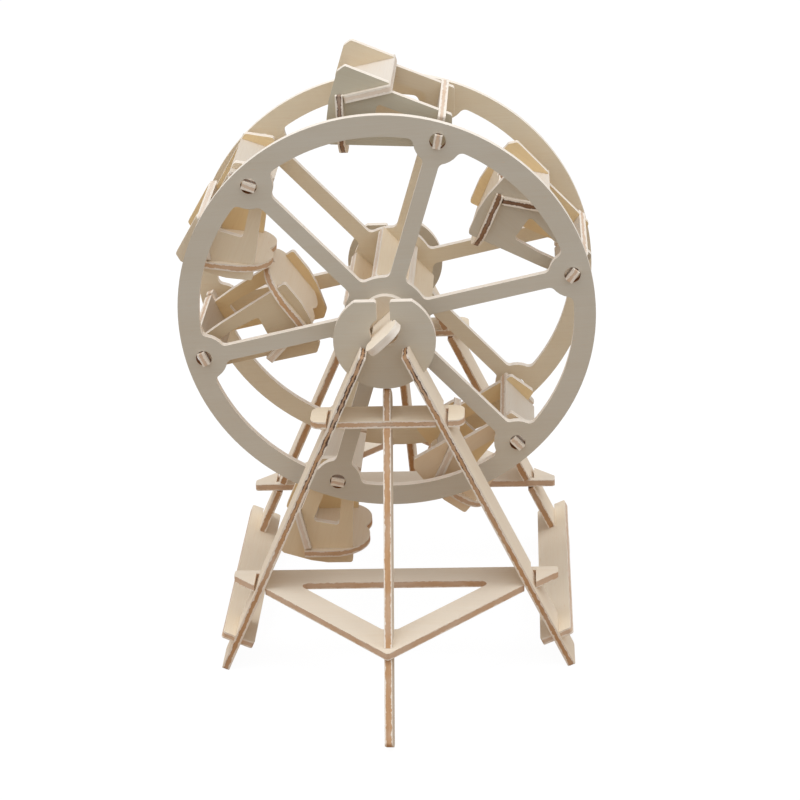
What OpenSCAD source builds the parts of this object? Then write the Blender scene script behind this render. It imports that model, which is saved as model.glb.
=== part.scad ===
// Wooden ferris wheel toy, put together from cut plywood boards.
// The origin is on the ground under the middle of the axle. X is to the right, Y away from the viewer, Z up.

/* [Board] */
// Thickness of the plywood
ply = 3; // [2.6:0.1:3.3]
// Play across every slot that holds a board
slot_play = 0.1; // [0.06:0.02:0.2]
// Radius on the corners of the boards
corner_r = 1.2; // [0.6:0.1:1.4]
// Radial play of the axle and of the cabin pins in their holes
pin_play = 0.05; // [0.03:0.01:0.09]

/* [Wheels] */
// Height of the axle above the ground
axle_h = 144.5; // [142:0.5:150]
// Outer radius of the wheels
wheel_r = 82.5; // [80:0.5:84]
// Width of the rim
rim_w = 8.5; // [7:0.25:10]
// Distance between the middles of the two wheels
wheel_gap = 57.2; // [56.4:0.2:58]
// Distance of the cabin pins inside the wheels' outer edge
pin_inset = 7.3; // [6.8:0.1:8.2]
// Turn of the first spoke from level, in degrees
spoke_turn = 72.4; // [70:0.2:75]
// Width of a spoke
spoke_w = 6.3; // [5.5:0.1:7.5]
// Radius of the widening round each pin hole
knot_r = 9.4; // [8.4:0.1:9.8]
// Radius of the hub disk
hub_r = 16.7; // [16:0.1:18]
// Corner radius of the openings between the spokes
opening_r = 2.6; // [2:0.1:3.2]

/* [Axle] */
// Radius of the round corners of the axle's neck
neck_r = 5.6; // [5.2:0.1:5.9]
// Width of the finger key and of the step in the front wheel
key_w = 15.8; // [14.4:0.1:16]
// Length of the finger key
key_l = 10.4; // [7:0.1:12]
// Gap between the finger key and the front bearing plate
key_gap = 2; // [0.8:0.1:2.4]
// Radius of the finger key's front corners
key_corner_r = 5.2; // [3:0.1:6]
// Radius of the finger key's back corners
key_back_r = 2.2; // [0.8:0.1:2.3]
// Width of the axle plate between the wheels
axle_plate_w = 26.2; // [24:0.2:28]
// Length of the axle behind the rear bearing plate
axle_tail_l = 3; // [1:0.5:6]
// Distance of the spacer plates' middles from the axle's middle
spacer_x = 7.9; // [7.4:0.1:9]
// Width of a spacer plate
spacer_w = 29.7; // [28:0.2:31]
// Radius of the slotted collars
collar_r = 10; // [9:0.1:11]

/* [Bearing plates] */
// Distance of the bearing plates' outer faces from the middle of the toy
bearing_y = 45.3; // [44.5:0.1:46]
// Radius of a bearing plate
bearing_r = 20; // [19:0.1:21]
// How far the middle of a bearing plate lies under the axle
bearing_drop = 4.1; // [3.4:0.1:4.4]
// Height of the flat top above the axle
bearing_flat_h = 12.5; // [11.6:0.1:13]
// Width of the slot from the axle hole to the flat top
bearing_slot_w = 5.2; // [4.6:0.1:5.8]
// Radius of the corners at the flat top
bearing_corner_r = 1; // [0.6:0.2:3]

/* [Side legs] */
// Sideways distance of the leg tops from the middle
leg_top_x = 8.25; // [7.9:0.05:8.6]
// How far the leg tops lie under the axle
leg_top_drop = 6.8; // [6.2:0.1:7.4]
// Sideways distance of the feet from the middle
leg_foot_x = 71.2; // [68:0.1:74]
// Distance of the outer edge at the top from the middle of the toy
leg_top_y = 54.8; // [54.2:0.1:55.4]
// Distance of the outer edge at the foot from the middle of the toy
leg_foot_y = 56.2; // [55.6:0.1:57]
// Width of a side leg
leg_w = 17.2; // [16.8:0.1:17.8]
// Depth cut off level under the lowest corner of a side leg
leg_trim = 0.5; // [0.3:0.1:1]
// Width of the bar that a brace or a base triangle keeps behind its side-leg slots
lap_bar = 2.7; // [2.4:0.1:3.2]

/* [Centre legs] */
// Distance of the outer edge at the top from the middle of the toy
centre_top_y = 45.3; // [44.8:0.1:46]
// Gap between a bearing plate and the top of the centre leg under it
centre_gap = 0.8; // [0.5:0.1:1.5]
// Lean of a centre leg, in degrees
centre_lean = 35; // [33:0.2:37]
// Width of a centre leg
centre_w = 14.4; // [13.6:0.1:15]
// Corner radius of a centre leg's top
centre_top_r = 4; // [2:0.2:6]
// Depth cut off level under the lowest corner of a centre leg
centre_trim = 1.2; // [0.8:0.1:1.6]

/* [Cross braces] */
// How far a brace's top face lies under the axle
brace_drop = 34.4; // [32:0.1:36]
// Length of a cross brace
brace_l = 60.6; // [58:0.2:64]
// Distance of a brace's inner edge from the middle of the toy
brace_y = 39; // [38.8:0.1:39.6]
// Width of a cross brace
brace_w = 14.5; // [14:0.1:14.8]
// Corner radius of a cross brace
brace_corner_r = 4; // [2:0.2:5]
// Width of the bar between the centre slot and the outer edge
brace_bar = 2.5; // [2.2:0.1:3]

/* [Base triangles] */
// Height of a base triangle's top face above the ground
base_top_h = 37.4; // [36:0.1:40]
// Distance of a base triangle's inner edge from the middle of the toy
base_y = 39.7; // [39:0.1:40.5]
// Distance of a base triangle's point from the middle of the toy
base_point_y = 108.4; // [107.6:0.1:110]
// Sideways distance of the tips from the middle
base_tip_x = 66.2; // [65:0.1:67]
// Length of the blunt end of a tip
base_tip_l = 4.4; // [3.6:0.1:5.2]
// Length of a base triangle's arm where it meets a side leg
base_arm_l = 12.7; // [12.2:0.1:13.2]
// How much longer a tip is than the arm, outside the side leg
base_step = 2.2; // [1:0.1:2.6]
// Width of the bars of a base triangle
base_bar = 11.2; // [10:0.1:12]
// Width of the opening in a base triangle
base_opening_w = 78.4; // [74:0.2:80]
// Length of the opening in a base triangle, from its inner edge
base_opening_l = 49.6; // [48.6:0.1:50.4]

/* [Side planks] */
// Height of the middle of a plank's top face above the ground
plank_h = 14.5; // [12:0.1:17]
// Width of a side plank
plank_w = 13.5; // [12:0.1:15]
// Length of a side plank
plank_l = 114.8; // [112:0.2:116]
// How far the planks' middles lie behind the middle of the toy
plank_shift = 2.9; // [2:0.1:3.6]

/* [Cabins] */
// Height of a cabin's side panel
cabin_h = 46.6; // [45.8:0.1:47.4]
// Distance of a side panel's middle from the middle of the toy
panel_y = 18.5; // [18:0.1:19]
// Width of the roof
roof_w = 17.5; // [16.5:0.1:18.5]
// Length of the roof between the pins
roof_l = 49; // [48:0.2:50]
// Slope of the roof towards the cabin's front, in degrees
roof_slant = 12; // [9:0.5:14]
// Radius of the pins on the roof's ends
pin_r = 3.1; // [2.8:0.05:3.3]
// Width of a pin
pin_w = 5.4; // [4.8:0.1:5.5]
// How far a pin stands out of the wheel
pin_out = 1.7; // [1:0.1:2.5]
// Length of the floor across the cabin, with both ends
floor_l = 44.6; // [44:0.2:46]
// Distance of the floor's straight edge behind the pin
floor_back_x = 16.4; // [15.8:0.1:16.8]
// Distance of the floor's lobed edge in front of the pin
floor_front_x = 10.2; // [9.4:0.1:11]
// Depth of the notch between the two lobes
lobe_notch = 2.2; // [1.5:0.1:3]
// Height of the slanted back plate
back_h = 18.7; // [18.2:0.1:19]
// Slant of the back plate, in degrees
back_slant = 11.5; // [10:0.1:13]
// Corner radius of the window
window_r = 1.4; // [0.8:0.1:1.8]
// Turn of the first cabin from upright, clockwise, in degrees
cabin_1_turn = 90; // [85:1:95]
// Turn of the second cabin
cabin_2_turn = 8; // [8:1:12]
// Turn of the third cabin
cabin_3_turn = 235; // [234:1:240]
// Turn of the fourth cabin
cabin_4_turn = 0; // [-5:1:5]
// Turn of the fifth cabin
cabin_5_turn = 36; // [30:1:40]
// Turn of the sixth cabin
cabin_6_turn = 114; // [110:1:118]

/* [Hidden] */
$fn = 32;

// overrun of every cut past the face it leaves
over = ply / 3;
slot = ply + slot_play;
half = ply / 2;

// heights above the ground that follow the axle
leg_top_h = axle_h - leg_top_drop;
centre_round = centre_top_r * (cos(centre_lean) + sin(centre_lean) - 1);
centre_top_h = axle_h - bearing_drop - bearing_r - centre_gap + centre_round;
brace_top_h = axle_h - brace_drop;

// the wheels' faces, measured from the middle of the toy
wheel_y = wheel_gap / 2;
wheel_in = wheel_y - half;
wheel_out = wheel_y + half;
pin_circle_r = wheel_r - pin_inset;
spokes = 6;
spoke_step = 360 / spokes;
axle_turn = spoke_turn - spoke_step / 2;

// the side legs' plane
leg_lean = atan((leg_foot_x - leg_top_x) / leg_top_h);
leg_l = (leg_top_h + leg_trim - half * sin(leg_lean)) / cos(leg_lean);
leg_slope = (leg_foot_y - leg_top_y) / leg_l;
lean_slot = ply * (1 + sin(leg_lean)) / cos(leg_lean) + slot_play;

// the centre legs' plane
centre_l = (centre_top_h + centre_trim - centre_w * sin(centre_lean)) / cos(centre_lean);

// cabin sizes, as shares of the side panel's height
panel_x_shares = [-0.15, 0.108, 0.108, 0.073, -0.15, -0.3, -0.547, -0.592, -0.436, -0.358];
panel_z_shares = [0.118, 0.107, -0.236, -0.918, -0.918, -0.893, -0.812, -0.747, -0.388, -0.373];
window_x_shares = [-0.266, -0.11, 0.009, 0, -0.034];
window_z_shares = [-0.496, -0.129, -0.129, -0.3, -0.543];
floor_share = 0.7725;
roof_slot_share = 0.032;
floor_slot_share = 0.137;
floor_z = -floor_share * cabin_h;
roof_slot_x = -roof_slot_share * cabin_h;
floor_slot_x = -floor_slot_share * cabin_h;
back_foot_x = -floor_back_x + slot_play;
cabin_turns = [cabin_1_turn, cabin_2_turn, cabin_3_turn, cabin_4_turn, cabin_5_turn, cabin_6_turn];

// the two lobes are circles that meet in a notch
lobe_half = floor_l / 2;
lobe_b = 2 * (lobe_half + lobe_notch);
lobe_c = lobe_half * lobe_half + lobe_notch * lobe_notch;
lobe_r = (lobe_b - sqrt(lobe_b * lobe_b - 4 * lobe_c)) / 2;

// rounds the outer corners of a flat outline
module rounded(r) {
    offset(r = r)
        offset(delta = -r)
            children();
}

// a board that stands across the toy, drawn in X and Z, with its middle at this Y
module upright_board(y) {
    translate([0, y, 0])
        rotate([90, 0, 0])
            linear_extrude(ply, center = true)
                children();
}

// the same shape at the back of the toy
module at_rear() {
    mirror([0, 1, 0])
        children();
}

module at_left() {
    mirror([1, 0, 0])
        children();
}

// where the leg line leaves the bearing plate, counted along the leg from its top
leg_top_dz = leg_top_h - axle_h + bearing_drop;
leg_dot = leg_top_x * sin(leg_lean) - leg_top_dz * cos(leg_lean);
leg_in_sq = bearing_r * bearing_r - leg_top_x * leg_top_x - leg_top_dz * leg_top_dz;
leg_out_l = sqrt(leg_dot * leg_dot + leg_in_sq) - leg_dot;

module bearing_outline() {
    difference() {
        rounded(bearing_corner_r)
            difference() {
                translate([0, -bearing_drop])
                    circle(r = bearing_r, $fn = 96);
                translate([-bearing_r, bearing_flat_h])
                    square([2 * bearing_r, bearing_r]);
                translate([-bearing_slot_w / 2, 0])
                    square([bearing_slot_w, bearing_flat_h + over]);
            }
        circle(r = neck_r + pin_play);
        for (side = [-1, 1])
            scale([side, 1])
                translate([leg_top_x, leg_top_h - axle_h])
                    rotate(leg_lean)
                        translate([-slot / 2, -leg_out_l - bearing_r])
                            square([slot, leg_out_l / 2 + bearing_r]);
    }
}

module bearing_plate() {
    color("BurlyWood")
        translate([0, 0, axle_h])
            upright_board(-bearing_y + half)
                bearing_outline();
}

// distance along a side leg at which it passes this height
function leg_s(h) = (leg_top_h - h) / cos(leg_lean);
function leg_edge_y(s) = -leg_top_y - leg_slope * s;

module leg_outline() {
    difference() {
        rounded(corner_r)
            polygon([
                [0, leg_edge_y(0)],
                [leg_l, leg_edge_y(leg_l)],
                [leg_l, leg_edge_y(leg_l) + leg_w],
                [0, leg_edge_y(0) + leg_w]
            ]);
        // fork over the bearing plate
        translate([-over, -bearing_y - slot_play / 2])
            square([over + leg_out_l / 2, slot]);
        // notch for the cross brace
        translate([leg_s(brace_top_h - half) - lean_slot / 2, -brace_lap_y])
            square([lean_slot, leg_w]);
        // notch for the base triangle
        translate([leg_s(base_top_h - half) - lean_slot / 2, -base_lap_y])
            square([lean_slot, leg_w]);
        // notch for the side plank
        translate([leg_s(plank_h) - slot_play / 2, -plank_lap_y])
            square([slot, leg_w]);
    }
}

// where the side legs and the boards they cross share their width
brace_lap_y = brace_y + lap_bar;
base_lap_y = base_y + lap_bar;
plank_lap_y = (plank_l / 2 - plank_shift - leg_edge_y(leg_s(plank_h)) - leg_w) / 2;

module side_leg() {
    color("Tan")
        difference() {
            translate([leg_top_x, 0, leg_top_h])
                rotate([0, 90 - leg_lean, 0])
                    linear_extrude(ply, center = true)
                        leg_outline();
            translate([leg_foot_x - leg_w, -leg_foot_y - leg_w, -leg_w])
                cube([2 * leg_w, 3 * leg_w, leg_w]);
        }
}

// a centre leg is drawn along its outer edge, downwards, and then leaned
module centre_outline() {
    rounded(corner_r)
        translate([0, centre_l / 2])
            square([centre_w, centre_l / 2]);
    rounded(centre_top_r)
        square([centre_w, centre_l - centre_w]);
}

module centre_leg() {
    color("Tan")
        difference() {
            translate([0, -centre_top_y, centre_top_h])
                rotate([-centre_lean, 0, 0])
                    rotate([90, 0, 90])
                        mirror([0, 1, 0])
                            linear_extrude(ply, center = true)
                                centre_outline();
            // the foot is trimmed level with the ground
            translate([-ply, -2 * base_point_y, -centre_w])
                cube([2 * ply, 2 * base_point_y, centre_w]);
            // notch for the bar of the cross brace
            translate([-ply, -brace_y - brace_w - centre_w, brace_top_h - ply - slot_play / 2])
                cube([2 * ply, centre_w + brace_bar + slot_play, slot]);
            // notch for the point of the base triangle
            translate([-ply, -2 * centre_lap_y + slot_play, base_top_h - ply - slot_play / 2])
                cube([2 * ply, centre_lap_y, slot]);
        }
}

module brace() {
    color("Wheat")
        translate([0, 0, brace_top_h - ply])
            linear_extrude(ply)
                difference() {
                    translate([-brace_l / 2, -brace_y - brace_w])
                        rounded(brace_corner_r)
                            square([brace_l, brace_w]);
                    for (side = [-1, 1])
                        translate([side * leg_x(brace_top_h - half) - lean_slot / 2, -brace_y - 2 * brace_w])
                            square([lean_slot, brace_y + 2 * brace_w - brace_lap_y]);
                    translate([-slot / 2, -brace_y - brace_w + brace_bar])
                        square([slot, brace_w]);
                }
}

// sideways place of a side leg's middle at this height
function leg_x(h) = leg_top_x + (leg_top_h - h) * tan(leg_lean);

// one half of a base triangle, with its blunt tip outside the side leg
module base_half() {
    slot_x = leg_x(base_top_h - half);
    polygon([
        [0, -base_point_y],
        [slot_x, -base_y - base_arm_l],
        [slot_x, -base_y - base_arm_l - base_step],
        [base_tip_x, -base_y - base_tip_l],
        [base_tip_x, -base_y],
        [0, -base_y]
    ]);
}

module base_outline() {
    base_half();
    mirror([1, 0])
        base_half();
}

module base_triangle() {
    color("Wheat")
        translate([0, 0, base_top_h - ply])
            linear_extrude(ply)
                difference() {
                    rounded(corner_r)
                        base_outline();
                    rounded(2 * corner_r)
                        intersection() {
                            offset(delta = -base_bar)
                                base_outline();
                            translate([-base_opening_w / 2, -base_y - base_opening_l])
                                square([base_opening_w, base_opening_l]);
                        }
                    for (side = [-1, 1])
                        translate([side * leg_x(base_top_h - half) - lean_slot / 2, -base_point_y])
                            square([lean_slot, base_point_y - base_lap_y]);
                    translate([-slot / 2, -centre_lap_y])
                        square([slot, centre_w]);
                }
}

// where a base triangle and a centre leg share the leg's width
centre_out_y = centre_top_y + (centre_top_h - base_top_h + half) * tan(centre_lean);
centre_lap_y = centre_out_y - centre_w / cos(centre_lean) / 2;

module side_plank() {
    color("Wheat")
        translate([leg_x(plank_h), 0, plank_h])
            rotate([0, -leg_lean, 0])
                translate([0, 0, -ply])
                    linear_extrude(ply)
                        difference() {
                            translate([-plank_w / 2, plank_shift - plank_l / 2])
                                rounded(corner_r)
                                    square([plank_w, plank_l]);
                            for (end = [-1, 1])
                                translate([-slot / 2, end * (plank_lap_y + plank_l / 2) - plank_l / 2])
                                    square([slot, plank_l]);
                        }
}

module wheel_openings() {
    rounded(opening_r)
        difference() {
            circle(r = wheel_r - rim_w, $fn = 144);
            circle(r = hub_r, $fn = 72);
            for (k = [1 : spokes])
                rotate(spoke_turn + k * spoke_step) {
                    translate([0, -spoke_w / 2])
                        square([wheel_r, spoke_w]);
                    translate([pin_circle_r, 0])
                        circle(r = knot_r);
                }
        }
}

module wheel_outline(slot_w) {
    difference() {
        circle(r = wheel_r);
        wheel_openings();
        for (k = [1 : spokes])
            rotate(spoke_turn + k * spoke_step)
                translate([pin_circle_r, 0])
                    circle(r = pin_r + pin_play);
        rotate(axle_turn)
            square([slot_w + slot_play, slot], center = true);
    }
}

module wheel(y, slot_w) {
    color("BurlyWood")
        translate([0, 0, axle_h])
            upright_board(y)
                wheel_outline(slot_w);
}

// puts a shape drawn along the axle plate in its place: X across the plate, Y along the axle
module on_axle() {
    translate([0, 0, axle_h])
        rotate([0, -axle_turn, 0])
            children();
}

key_front_y = -bearing_y - key_gap - key_l;
tail_y = bearing_y + axle_tail_l;

module axle_body() {
    difference() {
        translate([-axle_plate_w / 2, -wheel_in])
            square([axle_plate_w, 2 * wheel_in]);
        // slots for the spacer plates, open to the rear
        for (side = [-1, 1])
            translate([side * spacer_x - slot / 2, 0])
                square([slot, wheel_in + over]);
    }
    translate([-key_w / 2, -wheel_out])
        square([key_w, ply + over]);
    translate([0, key_front_y])
        rounded(key_back_r)
            difference() {
                translate([-key_w / 2, 0])
                    rounded(key_corner_r)
                        square([key_w, key_l + key_corner_r]);
                translate([-key_w, key_l])
                    square([2 * key_w, key_w]);
            }
}

module axle_neck(y0, y1) {
    intersection() {
        translate([0, y1, 0])
            rotate([90, 0, 0])
                cylinder(r = neck_r, h = y1 - y0);
        translate([-neck_r, y0, -half])
            cube([2 * neck_r, y1 - y0, ply]);
    }
}

module axle_plate() {
    color("Peru")
        on_axle() {
            linear_extrude(ply, center = true)
                axle_body();
            axle_neck(key_front_y + key_l - over, -wheel_out + over);
            axle_neck(wheel_in - over, tail_y);
        }
}

module spacer(side) {
    color("Tan")
        on_axle()
            translate([side * spacer_x, 0, 0])
                rotate([0, 90, 0])
                    linear_extrude(ply, center = true)
                        difference() {
                            translate([-spacer_w / 2, -wheel_in])
                                rounded(corner_r)
                                    square([spacer_w, 2 * wheel_in]);
                            translate([-slot / 2, -wheel_in - over])
                                square([slot, wheel_in + over]);
                        }
}

module collar(y) {
    color("Peru")
        on_axle()
            upright_board(y)
                difference() {
                    circle(r = collar_r);
                    translate([-2 * collar_r + neck_r + slot_play, -slot / 2])
                        square([2 * collar_r, slot]);
                }
}

function points(xs, zs) = [for (k = [0 : len(xs) - 1]) [xs[k] * cabin_h, zs[k] * cabin_h]];

// a cabin hangs from its pins, which are at the origin until it is put on the wheel
module on_wheel(k) {
    turn = spoke_turn + (k - 1) * spoke_step;
    translate([pin_circle_r * cos(turn), 0, axle_h + pin_circle_r * sin(turn)])
        rotate([0, cabin_turns[k - 1], 0])
            children();
}

module panel_outline() {
    difference() {
        rounded(corner_r)
            polygon(points(panel_x_shares, panel_z_shares));
        rounded(window_r)
            polygon(points(window_x_shares, window_z_shares));
        // slot for the roof, open at the back
        rotate(-roof_slant)
            translate([roof_slot_x - roof_w, -slot / 2])
                square([roof_w, slot]);
        // slot for the floor, open at the front
        translate([floor_slot_x, floor_z - ply - slot_play / 2])
            square([roof_w, slot]);
        // slot for the back plate, open at the top
        translate([back_foot_x, floor_z])
            rotate(back_slant)
                translate([-slot_play / 2, back_h / 2])
                    square([slot, back_h]);
    }
}

module panel(k, side) {
    color("Wheat")
        on_wheel(k)
            upright_board(side * panel_y)
                panel_outline();
}

module roof_outline() {
    difference() {
        translate([-roof_w / 2, -roof_l / 2])
            rounded(corner_r)
                square([roof_w, roof_l]);
        for (side = [-1, 1])
            translate([roof_slot_x, side * panel_y - slot / 2])
                square([roof_w, slot]);
    }
}

module roof_pins() {
    pin_end = wheel_out + pin_out;
    intersection() {
        translate([-pin_w / 2, -pin_end, -half])
            cube([pin_w, 2 * pin_end, ply]);
        difference() {
            translate([0, pin_end, 0])
                rotate([90, 0, 0])
                    cylinder(r = pin_r, h = 2 * pin_end);
            translate([-pin_w, -roof_l / 2 + over, -ply])
                cube([2 * pin_w, roof_l - 2 * over, 2 * ply]);
        }
    }
}

module roof(k) {
    color("Tan")
        on_wheel(k)
            rotate([0, roof_slant, 0]) {
                linear_extrude(ply, center = true)
                    roof_outline();
                roof_pins();
            }
}

module floor_outline() {
    difference() {
        union() {
            for (side = [-1, 1])
                translate([floor_front_x - lobe_r, side * (lobe_half - lobe_r)])
                    circle(r = lobe_r);
            translate([-floor_back_x, -floor_l / 2])
                square([floor_back_x + floor_front_x - lobe_r, floor_l]);
        }
        for (side = [-1, 1])
            translate([floor_slot_x - roof_w, side * panel_y - slot / 2])
                square([roof_w, slot]);
    }
}

module cabin_floor(k) {
    color("BurlyWood")
        on_wheel(k)
            translate([0, 0, floor_z - ply])
                linear_extrude(ply)
                    floor_outline();
}

module back_outline() {
    difference() {
        translate([-floor_l / 2, 0])
            rounded(corner_r)
                square([floor_l, back_h]);
        for (side = [-1, 1])
            translate([side * panel_y - slot / 2, -over])
                square([slot, over + back_h / 2]);
    }
}

module cabin_back(k) {
    color("Peru")
        on_wheel(k)
            translate([back_foot_x, 0, floor_z])
                rotate([0, -back_slant, 0])
                    rotate([90, 0, 90])
                        linear_extrude(ply)
                            back_outline();
}

bearing_plate();  // front_bearing_plate
at_rear() bearing_plate();  // rear_bearing_plate
at_left() side_leg();  // front_left_leg
side_leg();  // front_right_leg
at_rear() at_left() side_leg();  // rear_left_leg
at_rear() side_leg();  // rear_right_leg
centre_leg();  // front_centre_leg
at_rear() centre_leg();  // rear_centre_leg
brace();  // front_cross_brace
at_rear() brace();  // rear_cross_brace
base_triangle();  // front_base_triangle
at_rear() base_triangle();  // rear_base_triangle
at_left() side_plank();  // left_side_plank
side_plank();  // right_side_plank
wheel(-wheel_y, key_w);  // front_wheel
wheel(wheel_y, 2 * neck_r);  // rear_wheel
axle_plate();
spacer(1);  // upper_spacer
spacer(-1);  // lower_spacer
collar(-wheel_out - half);  // front_collar
collar(wheel_out + half);  // rear_collar
roof(1);  // cabin_1_roof
panel(1, -1);  // cabin_1_front_panel
panel(1, 1);  // cabin_1_rear_panel
cabin_floor(1);  // cabin_1_floor
cabin_back(1);  // cabin_1_back
roof(2);  // cabin_2_roof
panel(2, -1);  // cabin_2_front_panel
panel(2, 1);  // cabin_2_rear_panel
cabin_floor(2);  // cabin_2_floor
cabin_back(2);  // cabin_2_back
roof(3);  // cabin_3_roof
panel(3, -1);  // cabin_3_front_panel
panel(3, 1);  // cabin_3_rear_panel
cabin_floor(3);  // cabin_3_floor
cabin_back(3);  // cabin_3_back
roof(4);  // cabin_4_roof
panel(4, -1);  // cabin_4_front_panel
panel(4, 1);  // cabin_4_rear_panel
cabin_floor(4);  // cabin_4_floor
cabin_back(4);  // cabin_4_back
roof(5);  // cabin_5_roof
panel(5, -1);  // cabin_5_front_panel
panel(5, 1);  // cabin_5_rear_panel
cabin_floor(5);  // cabin_5_floor
cabin_back(5);  // cabin_5_back
roof(6);  // cabin_6_roof
panel(6, -1);  // cabin_6_front_panel
panel(6, 1);  // cabin_6_rear_panel
cabin_floor(6);  // cabin_6_floor
cabin_back(6);  // cabin_6_back
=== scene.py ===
"""Wooden ferris wheel toy: laser-cut plywood boards on a white floor."""
import math

import bpy
import numpy as np
from mathutils import Matrix, Vector

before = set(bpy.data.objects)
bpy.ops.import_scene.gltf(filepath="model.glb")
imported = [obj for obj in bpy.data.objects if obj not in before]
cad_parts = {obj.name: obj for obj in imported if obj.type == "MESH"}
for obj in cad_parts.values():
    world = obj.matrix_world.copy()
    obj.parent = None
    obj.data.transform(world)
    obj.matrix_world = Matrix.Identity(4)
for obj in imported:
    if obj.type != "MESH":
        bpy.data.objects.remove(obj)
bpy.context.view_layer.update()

# the camera: place in metres, angles in degrees, lens and sensor in millimetres
CAMERA_PLACE = Vector((0.05684, -0.85257, 0.47746))
CAMERA_YAW = 3.67
CAMERA_PITCH = 24.11
CAMERA_ROLL = -2.54
CAMERA_LENS = 101.5
CAMERA_SENSOR = 36

# the lamps: place, target, size across, power and colour
OVERHEAD_COLOUR = (0.94, 1.0, 1.09)
SIDE_COLOUR = (0.96, 1.0, 1.06)
LAMPS = {
    "lamp_above": ((-0.3, -0.1, 2.5), (0, 0, 0.1), 1.6, 20, OVERHEAD_COLOUR),
    "lamp_right": ((1.0, -0.1, 1.1), (0, 0, 0.12), 1.0, 4, SIDE_COLOUR),
    "lamp_left": ((-1.0, -0.1, 1.0), (0, 0, 0.12), 1.0, 3, SIDE_COLOUR),
}

# the white room: the light it throws on the toy, and the white that the camera sees
WHITE = (1, 1, 1)
ROOM_COLOUR = (0.96, 1.0, 1.08)
ROOM_STRENGTH = 0.72
BACKDROP_STRENGTH = 1.0

# the floor: what it throws back on the toy turns from the near to the far colour between
# two radii, and what the camera sees of it is mostly glow, the rest matt with a shadow
FLOOR_HALF_SIDE = 4.0
FLOOR_NEAR = (0.40, 0.27, 0.16)
FLOOR_FAR = (0.38, 0.36, 0.33)
NEAR_RADIUS = 0.15
FAR_RADIUS = 0.55
FLOOR_MATT = (0.90, 0.90, 0.90)
GLOW_SHARE = 0.92
GLOW_STRENGTH = 1.04

# the board: its thickness, and how its edges are softened
PLY = 0.003
SOFTENING = 0.00016
SOFTENING_STEPS = 2
SHARP_ANGLE = 50

# the wheels' pin holes: PIN_HOLE is the radius of a hole, PIN_CIRCLE that of the circle
# they stand on, and a hole's wall is brown up to BURN_REACH from the hole's centre
AXLE_HEIGHT = 0.1445
PIN_CIRCLE = 0.0752
PIN_HOLE = 0.0032
FIRST_SPOKE = 72.4
SPOKE_STEP = 60
WHOLE_TURN = 360
BURN_REACH = 1.5 * PIN_HOLE
BURN_FADE = 0.2 * PIN_HOLE

# these legs' edges are charred only above this height
CLEAN_FOOTED = ("front_left_leg", "front_right_leg")
FOOT_HEIGHT = 0.048

# colours, as linear red, green and blue, and the most that a face throws back
FACE = (0.760, 0.655, 0.500)
FACE_GRAIN = (0.700, 0.560, 0.385)
VENEER_EDGE = (0.87, 0.77, 0.64)
CORE_EDGE = (0.74, 0.44, 0.22)
GLUE_LINE = (0.33, 0.150, 0.062)
BURNT_CORE = (0.115, 0.042, 0.020)
SCORCH = (0.050, 0.019, 0.011)
HOLE_BURN = (0.36, 0.155, 0.052)
BRIGHTEST = 0.92

# the wood's patterns: scale per metre along the grain, across it and through the board,
# then detail and roughness of the noise
PATTERNS = {
    "fibres": ((60, 1600, 60), 4.0, 0.55),
    "bands": ((9, 90, 9), 3.0, 0.5),
    "clouds": ((22, 22, 22), 3.0, 0.6),
    "specks": ((260, 2400, 260), 1.0, 0.4),
    "wobble": ((420, 420, 500), 4.0, 0.70),
    "ragged": ((260, 260, 120), 4.0, 0.7),
    "streaks": ((150, 150, 1500), 4.0, 0.65),
    "blotches": ((55, 55, 55), 3.0, 0.6),
    "slow": ((16, 16, 16), 2.0, 0.5),
}
PATTERN_SHIFT = (0.37, 0.21, 0.13)
NOISE_MIDDLE = 0.5

# a point is on a face, and not on a cut edge, where its normal lies along the thickness
FACE_START = 0.6
FACE_SLOPE = 5.0

# the faces: how the patterns make the grain, and where the specks begin
FIBRE_SHARE = 0.75
BAND_SHARE = 0.75
CLOUD_SHARE = 0.5
GRAIN_START = 0.62
SPECK_START = 0.69
SPECK_SLOPE = 3.0

# the layers of a cut edge, in shares of the board's thickness
MIDDLE_LAYER = 0.5
CORE_MIDDLE = 0.52
NEAR_GLUE = 0.31
FAR_GLUE = 0.72
LAYER_WAVER = 0.60
LAYER_SHARPNESS = 22.0

# the browning of a cut edge
STREAK_SHARE = 0.8
BROWN_LEAST = 0.45
TAN_START = 0.35
TAN_SLOPE = 1.1
TAN_SHARE = 0.45

# the charred glue lines of a cut edge: how the patterns make their width, and how black they are
RAGGED_SHARE = 1.3
SLOW_SHARE = 0.7
CHAR_START = 0.83
CHAR_WIDTH = 0.65
FAR_CHAR_SHARE = 0.75
BLACK_LEAST = 0.55
BLACK_GAIN = 0.45
BLACK_MOST = 0.95

# the surface: shine, and the relief of edges and faces
SPECULAR = 0.25
ROUGHNESS = 0.60
FIBRE_ROUGHNESS = 0.16
EDGE_PITS = 0.8
CORE_RIDGE = -0.35
FACE_FIBRES = 0.35
RELIEF_STRENGTH = 0.35
RELIEF_DEPTH = 0.00025

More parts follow.
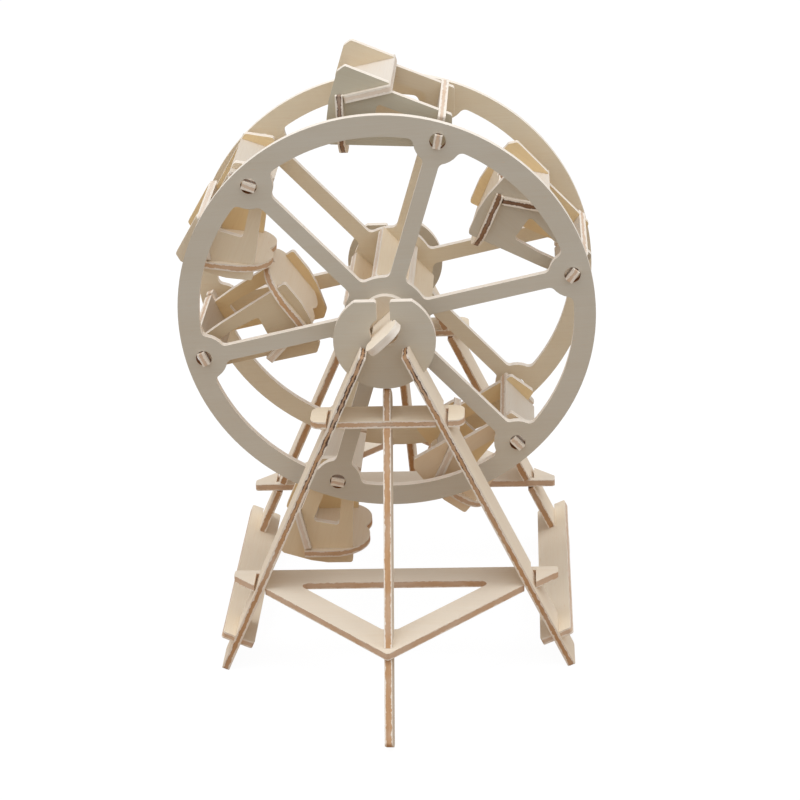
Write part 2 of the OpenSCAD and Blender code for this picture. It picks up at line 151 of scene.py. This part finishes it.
# what the faces' red, green and blue are multiplied by, under a word of the piece's name: the wood's tone
# together with painted light and shade, brighter on pieces that face the lamps, darker on pieces in shade,
# warmer where bounced light falls
FACE_TONE_AND_PAINTED_LIGHT = {
    "leg": (1.10, 1.10, 1.13),
    "centre_leg": (1.00, 1.02, 1.08),
    "cross_brace": (1.12, 1.12, 1.12),
    "base_triangle": (1.04, 1.05, 1.10),
    "side_plank": (1.15, 1.16, 1.18),
    "bearing_plate": (0.85, 0.89, 0.94),
    "front_wheel": (0.83, 0.87, 0.93),
    "rear_wheel": (1.10, 1.11, 1.08),
    "axle_plate": (1.18, 1.20, 1.26),
    "spacer": (1.18, 1.16, 1.12),
    "collar": (1.05, 1.04, 1.05),
    "_roof": (0.93, 0.95, 1.02),
    "_floor": (1.12, 1.12, 1.14),
    "_back": (0.96, 0.98, 1.07),
    "_front_panel": (1.10, 1.08, 1.04),
    "_rear_panel": (1.18, 1.06, 0.80),
    "cabin_1_front_panel": (0.78, 0.82, 0.82),
    "cabin_1_rear_panel": (1.06, 1.05, 1.00),
    "cabin_3_front_panel": (0.90, 0.82, 0.70),
    "cabin_4_front_panel": (1.10, 1.03, 0.90),
    "cabin_5_front_panel": (1.17, 1.08, 0.98),
    "cabin_6_front_panel": (0.80, 0.80, 0.80),
}

# the cut edges, under a word of the piece's name: how far browned, half the core's share
# of the thickness, how wide the charred glue lines, how dark the core
EDGE_LOOK = {
    "leg": (1.0, 0.28, 0.70, 0.15),
    "rear_left_leg": (1.0, 0.36, 0.05, 0.15),
    "rear_right_leg": (1.0, 0.36, 0.12, 0.15),
    "centre_leg": (1.0, 0.38, 0.15, 0.10),
    "cross_brace": (0.8, 0.32, 0.20, 0.05),
    "base_triangle": (0.75, 0.42, 0.10, 0.05),
    "side_plank": (0.6, 0.30, 0.10, 0.0),
    "bearing_plate": (0.10, 0.20, 0.04, 0.0),
    "wheel": (0.06, 0.20, 0.02, 0.0),
    "axle_plate": (0.10, 0.20, 0.04, 0.0),
    "spacer": (0.40, 0.26, 0.10, 0.0),
    "collar": (0.10, 0.20, 0.04, 0.0),
    "roof": (0.60, 0.22, 0.15, 0.05),
    "panel": (0.15, 0.24, 0.05, 0.0),
    "floor": (0.85, 0.30, 0.10, 0.0),
    "back": (0.30, 0.26, 0.08, 0.0),
    "cabin_1_floor": (1.0, 0.30, 0.40, 0.70),
    "cabin_6_floor": (1.0, 0.30, 0.30, 0.75),
    "cabin_6_back": (1.0, 0.30, 0.30, 0.90),
}


def look_of(table, name):
    """The table's entry under the longest of its keys that the piece's name holds."""
    keys = [key for key in table if key in name]
    return table[max(keys, key=len)]


# the colour times a piece's tone, which holds painted light and shade, at most BRIGHTEST
def toned_with_painted_light(colour, tone_and_painted_light):
    return tuple(min(BRIGHTEST, part * share) for part, share in zip(colour, tone_and_painted_light))


def opaque(colour):
    return (*colour, 1)


class Graph:
    """Short calls that add nodes to the tree of one material or world."""

    def __init__(self, owner):
        owner.use_nodes = True
        self.tree = owner.node_tree

    def add(self, kind, **settings):
        node = self.tree.nodes.new(kind)
        for key, value in settings.items():
            setattr(node, key, value)
        return node

    def link(self, source, target):
        self.tree.links.new(source, target)

    def put(self, socket, value):
        if isinstance(value, bpy.types.NodeSocket):
            self.link(value, socket)
        else:
            socket.default_value = value

    def math(self, operation, first, second=0.0, clamp=False):
        node = self.add("ShaderNodeMath", operation=operation, use_clamp=clamp)
        self.put(node.inputs[0], first)
        self.put(node.inputs[1], second)
        return node.outputs[0]

    def plus(self, first, second):
        return self.math("ADD", first, second)

    def minus(self, first, second, clamp=False):
        return self.math("SUBTRACT", first, second, clamp)

    def times(self, first, second, clamp=False):
        return self.math("MULTIPLY", first, second, clamp)

    def rise(self, value, start, slope):
        """How far the value is above its start, times the slope, kept between zero and one."""
        return self.times(self.minus(value, start), slope, clamp=True)

    def weighted(self, first, *others):
        """Sum of values, each times its share."""
        total = self.times(*first)
        for value, share in others:
            total = self.plus(total, self.times(value, share))
        return total

    def length(self, first, second):
        """Length of a line that goes this far along two directions."""
        squares = self.plus(self.math("POWER", first, 2), self.math("POWER", second, 2))
        return self.math("SQRT", squares)

    def part(self, vector, axis):
        node = self.add("ShaderNodeSeparateXYZ")
        self.link(vector, node.inputs[0])
        return node.outputs[axis]

    def mapping(self, vector, **values):
        node = self.add("ShaderNodeMapping")
        for name, value in values.items():
            node.inputs[name].default_value = value
        self.link(vector, node.inputs["Vector"])
        return node.outputs[0]

    def noise(self, vector, scale, detail, roughness):
        node = self.add("ShaderNodeTexNoise")
        node.inputs["Scale"].default_value = 1
        node.inputs["Detail"].default_value = detail
        node.inputs["Roughness"].default_value = roughness
        self.link(self.mapping(vector, Scale=scale), node.inputs["Vector"])
        return node.outputs["Fac"]

    def mix(self, factor, first, second):
        """A colour between two colours, which are sockets or three numbers."""
        node = self.add("ShaderNodeMix", data_type="RGBA")
        self.put(node.inputs["Factor"], factor)
        for name, value in (("A", first), ("B", second)):
            socket = [s for s in node.inputs if s.name == name and s.type == "RGBA"][0]
            self.put(socket, value if isinstance(value, bpy.types.NodeSocket) else opaque(value))
        return [s for s in node.outputs if s.type == "RGBA"][0]

    def shader(self, kind, **values):
        node = self.add(kind)
        for name, value in values.items():
            self.put(node.inputs[name], value)
        return node.outputs[0]

    def mix_shaders(self, factor, first, second):
        node = self.add("ShaderNodeMixShader")
        self.put(node.inputs["Fac"], factor)
        self.link(first, node.inputs[1])
        self.link(second, node.inputs[2])
        return node.outputs["Shader"]

    def show(self, output_kind, thrown, seen):
        """Ends the tree: what is thrown on the toy, and what the camera sees."""
        ray = self.add("ShaderNodeLightPath")
        both = self.mix_shaders(ray.outputs["Is Camera Ray"], thrown, seen)
        output = self.add(output_kind)
        self.link(both, output.inputs["Surface"])


# camera, light and floor

def view_axes(yaw, pitch, roll):
    """Right, up and backward directions of a camera that looks along +Y at zero."""
    yaw, pitch, roll = (math.radians(angle) for angle in (yaw, pitch, roll))
    level_share = math.cos(pitch)
    ahead = Vector((-math.sin(yaw) * level_share, math.cos(yaw) * level_share, -math.sin(pitch)))
    level = ahead.cross(Vector((0, 0, 1))).normalized()
    upward = level.cross(ahead)
    right = math.cos(roll) * level + math.sin(roll) * upward
    up = math.cos(roll) * upward - math.sin(roll) * level
    return right, up, -ahead


def make_camera():
    data = bpy.data.cameras.new("camera")
    data.lens = CAMERA_LENS
    data.sensor_width = CAMERA_SENSOR
    camera = bpy.data.objects.new("camera", data)
    bpy.context.scene.collection.objects.link(camera)
    turn = Matrix(view_axes(CAMERA_YAW, CAMERA_PITCH, CAMERA_ROLL)).transposed()
    camera.matrix_world = Matrix.Translation(CAMERA_PLACE) @ turn.to_4x4()
    bpy.context.scene.camera = camera


def make_lamp(name, place, target, size, power, colour):
    data = bpy.data.lights.new(name, "AREA")
    data.shape = "DISK"
    data.size = size
    data.energy = power
    data.color = colour
    lamp = bpy.data.objects.new(name, data)
    bpy.context.scene.collection.objects.link(lamp)
    lamp.location = place
    aim = Vector(target) - Vector(place)
    lamp.rotation_euler = aim.to_track_quat("-Z", "Y").to_euler()


def make_room():
    """Soft light from all around, in front of a white backdrop."""
    world = bpy.data.worlds.new("studio")
    bpy.context.scene.world = world
    graph = Graph(world)
    graph.tree.nodes.clear()
    light = graph.shader("ShaderNodeBackground", Color=opaque(ROOM_COLOUR), Strength=ROOM_STRENGTH)
    backdrop = graph.shader("ShaderNodeBackground", Color=opaque(WHITE), Strength=BACKDROP_STRENGTH)
    graph.show("ShaderNodeOutputWorld", light, backdrop)


def floor_material():
    material = bpy.data.materials.new("studio_floor")
    graph = Graph(material)
    graph.tree.nodes.clear()
    place = graph.add("ShaderNodeTexCoord")
    away = graph.add("ShaderNodeVectorMath", operation="LENGTH")
    graph.link(place.outputs["Object"], away.inputs[0])
    far_share = graph.rise(away.outputs["Value"], NEAR_RADIUS, 1 / (FAR_RADIUS - NEAR_RADIUS))
    thrown = graph.shader("ShaderNodeBsdfDiffuse", Color=graph.mix(far_share, FLOOR_NEAR, FLOOR_FAR))
    matt = graph.shader("ShaderNodeBsdfDiffuse", Color=opaque(FLOOR_MATT))
    glow = graph.shader("ShaderNodeEmission", Color=opaque(WHITE), Strength=GLOW_STRENGTH)
    graph.show("ShaderNodeOutputMaterial", thrown, graph.mix_shaders(GLOW_SHARE, matt, glow))
    return material


def make_floor():
    """A floor that the camera sees white with a faint shadow, and that throws warm light on the toy."""
    mesh = bpy.data.meshes.new("floor")
    signs = ((-1, -1), (1, -1), (1, 1), (-1, 1))
    corners = [(x * FLOOR_HALF_SIDE, y * FLOOR_HALF_SIDE, 0) for x, y in signs]
    mesh.from_pydata(corners, [], [(0, 1, 2, 3)])
    mesh.materials.append(floor_material())
    floor = bpy.data.objects.new("studio_floor", mesh)
    bpy.context.scene.collection.objects.link(floor)


# plywood

def board_axes(obj):
    """Grain, cross and thickness directions of a flat board, and the place of its middle plane."""
    mesh = obj.data
    normals = np.zeros(len(mesh.polygons) * 3)
    areas = np.zeros(len(mesh.polygons))
    points = np.zeros(len(mesh.vertices) * 3)
    mesh.polygons.foreach_get("normal", normals)
    mesh.polygons.foreach_get("area", areas)
    mesh.vertices.foreach_get("co", points)
    normals = normals.reshape(-1, 3)
    points = points.reshape(-1, 3)
    spread = (normals * areas[:, None]).T @ normals
    thickness = np.linalg.eigh(spread)[1][:, -1]
    through = points @ thickness
    middle = (through.min() + through.max()) / 2
    flat = points - points.mean(0)
    flat = flat - np.outer(flat @ thickness, thickness)
    grain = np.linalg.eigh(flat.T @ flat)[1][:, -1]
    cross = np.cross(thickness, grain)
    return Vector(grain), Vector(cross), Vector(thickness), float(middle)


def board_space(graph, place, obj):
    """The point in the board's axes, with X along the grain and Z through it, and a share: one on a face."""
    grain, cross, thickness, middle = board_axes(obj)
    turn = Matrix((grain, cross, thickness)).to_euler()
    point = graph.mapping(place.outputs["Object"], Rotation=turn, Location=(0, 0, -middle))
    facing = graph.mapping(place.outputs["Normal"], Rotation=turn)
    along_thickness = graph.math("ABSOLUTE", graph.part(facing, "Z"))
    return point, graph.rise(along_thickness, FACE_START, FACE_SLOPE)


def near_pin_holes(graph, point, obj):
    """One on the walls of a wheel's six pin holes, zero a little way off."""
    centre = obj.matrix_world.inverted() @ Vector((0, 0, AXLE_HEIGHT))
    right = graph.minus(graph.part(point, "X"), centre.x)
    up = graph.minus(graph.part(point, "Z"), centre.z)
    # zero on every spoke; a whole turn more keeps the angle above zero
    turn = graph.minus(graph.math("ARCTAN2", up, right), math.radians(FIRST_SPOKE - WHOLE_TURN))
    turn = graph.math("PINGPONG", turn, math.radians(SPOKE_STEP / 2))
    radius = graph.length(right, up)
    across = graph.times(turn, radius)
    along = graph.minus(radius, PIN_CIRCLE)
    return graph.rise(BURN_REACH, graph.length(across, along), 1 / BURN_FADE)


def above_the_foot(graph, point, obj):
    """Zero up to FOOT_HEIGHT above the ground, one from twice that height up."""
    ground = (obj.matrix_world.inverted() @ Vector((0, 0, 0))).z
    return graph.rise(graph.part(point, "Z"), ground + FOOT_HEIGHT, 1 / FOOT_HEIGHT)


def sanded_face(graph, pattern, tone_and_painted_light):
    """Pale wood with its grain and a few brown specks, in the piece's tone with painted light and shade."""
    grain = graph.weighted(
        (pattern["fibres"], FIBRE_SHARE),
        (pattern["bands"], BAND_SHARE),
        (pattern["clouds"], CLOUD_SHARE),
    )
    grain = graph.minus(grain, GRAIN_START, clamp=True)
    face = graph.mix(grain, toned_with_painted_light(FACE, tone_and_painted_light), toned_with_painted_light(FACE_GRAIN, tone_and_painted_light))
    specks = graph.rise(pattern["specks"], SPECK_START, SPECK_SLOPE)
    return graph.mix(specks, face, CORE_EDGE)


def wavering_layer(graph, through, pattern):
    """Zero on one face of the board and one on the other, wavering a little."""
    layer = graph.plus(graph.times(through, 1 / PLY), MIDDLE_LAYER)
    waver = graph.times(graph.minus(pattern["wobble"], NOISE_MIDDLE), LAYER_WAVER)
    return graph.plus(layer, waver)


def stripe(graph, layer, middle, half_width):
    """One inside a stripe of the layers, with a soft end on both sides."""
    away = graph.math("ABSOLUTE", graph.minus(layer, middle))
    return graph.rise(half_width, away, LAYER_SHARPNESS)


def browned_edge(graph, core, pattern, browned, burnt):
    """Pale veneer on both sides of a brown core, tanned in blotches."""
    brown = graph.mix(graph.times(pattern["streaks"], STREAK_SHARE, clamp=True), CORE_EDGE, GLUE_LINE)
    brown = graph.mix(burnt, brown, BURNT_CORE)
    browning = graph.times(graph.plus(pattern["blotches"], BROWN_LEAST), browned, clamp=True)
    edge = graph.mix(graph.times(core, browning), VENEER_EDGE, brown)
    tan = graph.rise(pattern["blotches"], TAN_START, TAN_SLOPE * browned)
    return graph.mix(graph.times(tan, TAN_SHARE), edge, CORE_EDGE)


def char_width(graph, pattern, charred):
    """Half the width of the charred glue lines, zero where they break off."""
    width = graph.weighted((pattern["ragged"], RAGGED_SHARE), (pattern["slow"], SLOW_SHARE))
    return graph.rise(width, CHAR_START, CHAR_WIDTH * charred)


def charred_lines(graph, layer, width, charred):
    """How black the two glue lines are; the far one is narrower."""
    near = stripe(graph, layer, NEAR_GLUE, width)
    far = stripe(graph, layer, FAR_GLUE, graph.times(width, FAR_CHAR_SHARE))
    darkness = min(BLACK_MOST, BLACK_LEAST + BLACK_GAIN * charred)
    return graph.times(graph.math("MAXIMUM", near, far), darkness)


def relief(graph, is_face, core, pattern):
    """Fine fibres on the faces, layers and pits on the edges."""
    height = graph.add("ShaderNodeMix", data_type="FLOAT")
    graph.link(is_face, height.inputs["Factor"])
    graph.link(graph.weighted((pattern["streaks"], EDGE_PITS), (core, CORE_RIDGE)), height.inputs[2])
    graph.link(graph.times(pattern["fibres"], FACE_FIBRES), height.inputs[3])
    bump = graph.add("ShaderNodeBump")
    bump.inputs["Strength"].default_value = RELIEF_STRENGTH
    bump.inputs["Distance"].default_value = RELIEF_DEPTH
    graph.link(height.outputs[0], bump.inputs["Height"])
    return bump.outputs["Normal"]


def plywood(name, obj, seed):
    """Pale sanded faces, and cut edges that show the layers."""
    browned, core_half, charred, burnt = look_of(EDGE_LOOK, name)
    material = bpy.data.materials.new("plywood_" + name)
    graph = Graph(material)
    surface = graph.tree.nodes["Principled BSDF"]
    place = graph.add("ShaderNodeTexCoord")
    point, is_face = board_space(graph, place, obj)
    shifted = graph.mapping(point, Location=[seed * step for step in PATTERN_SHIFT])
    pattern = {key: graph.noise(shifted, *values) for key, values in PATTERNS.items()}

    layer = wavering_layer(graph, graph.part(point, "Z"), pattern)
    core = stripe(graph, layer, CORE_MIDDLE, core_half)
    edge = browned_edge(graph, core, pattern, browned, burnt)
    width = char_width(graph, pattern, charred)
    if name in CLEAN_FOOTED:
        width = graph.times(width, above_the_foot(graph, place.outputs["Object"], obj))
    edge = graph.mix(charred_lines(graph, layer, width, charred), edge, SCORCH)
    if name.endswith("_wheel"):
        edge = graph.mix(near_pin_holes(graph, place.outputs["Object"], obj), edge, HOLE_BURN)

    # the face colour carries each piece's painted light and shade
    face = sanded_face(graph, pattern, look_of(FACE_TONE_AND_PAINTED_LIGHT, name))
    graph.link(graph.mix(is_face, edge, face), surface.inputs["Base Color"])
    surface.inputs["Specular IOR Level"].default_value = SPECULAR
    rough = graph.plus(graph.times(pattern["fibres"], FIBRE_ROUGHNESS), ROUGHNESS)
    graph.link(rough, surface.inputs["Roughness"])
    graph.link(relief(graph, is_face, core, pattern), surface.inputs["Normal"])
    return material


def soften_edges(obj):
    bevel = obj.modifiers.new("worn_edges", "BEVEL")
    bevel.width = SOFTENING
    bevel.segments = SOFTENING_STEPS
    bevel.limit_method = "ANGLE"
    bevel.angle_limit = math.radians(SHARP_ANGLE)
    bevel.use_clamp_overlap = True


def dress_boards():
    for seed, (name, obj) in enumerate(sorted(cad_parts.items())):
        material = plywood(name, obj, seed)
        obj.data.materials.clear()
        obj.data.materials.append(material)
        soften_edges(obj)


bpy.context.scene.view_settings.view_transform = "Standard"
make_camera()
make_room()
for lamp_name, lamp_values in LAMPS.items():
    make_lamp(lamp_name, *lamp_values)
make_floor()
dress_boards()
